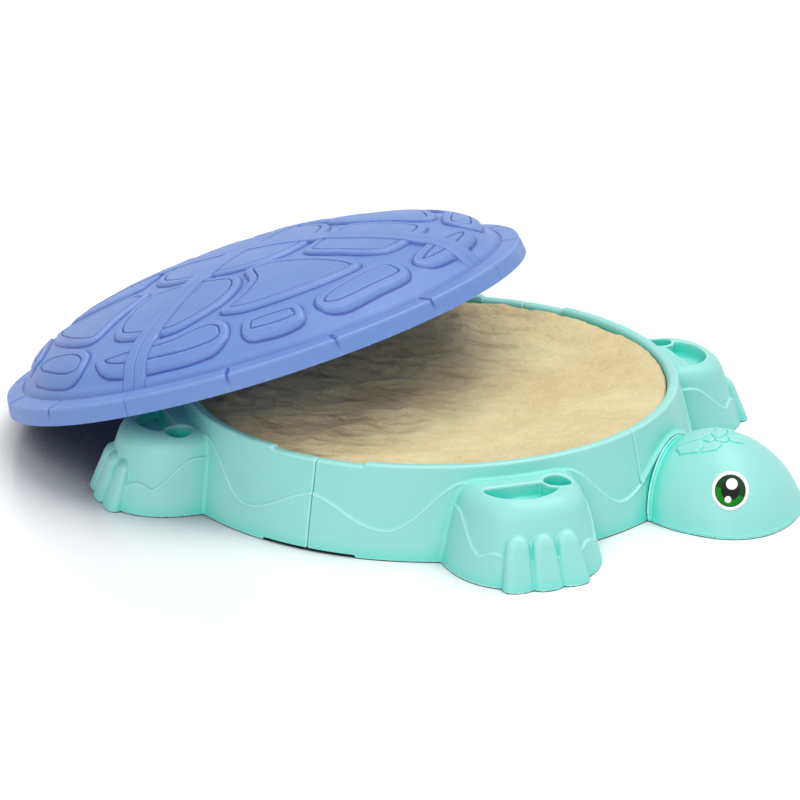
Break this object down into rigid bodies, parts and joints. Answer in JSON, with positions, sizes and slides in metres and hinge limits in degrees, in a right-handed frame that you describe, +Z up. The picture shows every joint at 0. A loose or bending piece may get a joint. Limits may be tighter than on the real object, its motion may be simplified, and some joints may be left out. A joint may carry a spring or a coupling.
{
  "type": "covered sandbox",
  "caption": "Round plastic sandbox shaped as a resting turtle, with four feet holding trays, a domed head and a loose domed cover over a sand-filled ring of hollow walls.",
  "frame": {"origin": "on the ground at the centre of the tub ring", "axes": "+X towards the head, +Y to the turtle's left, +Z up"},
  "size_m": [1.5109, 0.9988, 0.4082],
  "materials": {
    "body_plastic": "satin mint green moulded polyethylene",
    "cover_plastic": "satin blue moulded polyethylene",
    "body_rivet_plastic": "mint green nylon push rivet",
    "cover_rivet_plastic": "blue nylon push rivet",
    "sticker_vinyl": "gloss printed vinyl eye, white and black rings round a green iris",
    "sheet_weave": "black woven ground sheet",
    "play_sand": "fine dry play sand"
  },
  "bodies": {
    "tub": {"wall_front_right": "body_plastic", "wall_front_left": "body_plastic", "wall_rear_left": "body_plastic", "wall_rear_right": "body_plastic", "front_panel": "body_plastic", "head_shell": "body_plastic", "eye_sticker_right": "sticker_vinyl", "eye_sticker_left": "sticker_vinyl", "ground_sheet": "sheet_weave", "sand_fill": "play_sand", "rivet_right_low": "body_rivet_plastic", "rivet_right_high": "body_rivet_plastic", "rivet_left_low": "body_rivet_plastic", "rivet_left_high": "body_rivet_plastic", "rivet_tail_low": "body_rivet_plastic", "rivet_tail_high": "body_rivet_plastic", "rivet_panel_right_low": "body_rivet_plastic", "rivet_panel_right_high": "body_rivet_plastic", "rivet_panel_left_low": "body_rivet_plastic", "rivet_panel_left_high": "body_rivet_plastic", "rivet_head_right": "body_rivet_plastic", "rivet_head_left": "body_rivet_plastic"},
    "cover": {"cover_head_left": "cover_plastic", "cover_head_right": "cover_plastic", "cover_tail_left": "cover_plastic", "cover_tail_right": "cover_plastic", "rivet_cover_head_inner": "cover_rivet_plastic", "rivet_cover_head_outer": "cover_rivet_plastic", "rivet_cover_left_inner": "cover_rivet_plastic", "rivet_cover_left_outer": "cover_rivet_plastic", "rivet_cover_tail_inner": "cover_rivet_plastic", "rivet_cover_tail_outer": "cover_rivet_plastic", "rivet_cover_right_inner": "cover_rivet_plastic", "rivet_cover_right_outer": "cover_rivet_plastic"}
  },
  "joints": [
    {"name": "cover_swing", "type": "hinge", "parent": "tub", "child": "cover", "pos_m": [-0.313, 0, -0.8284], "axis": [0, 1, 0], "range_deg": [-2, 19]}
  ]
}
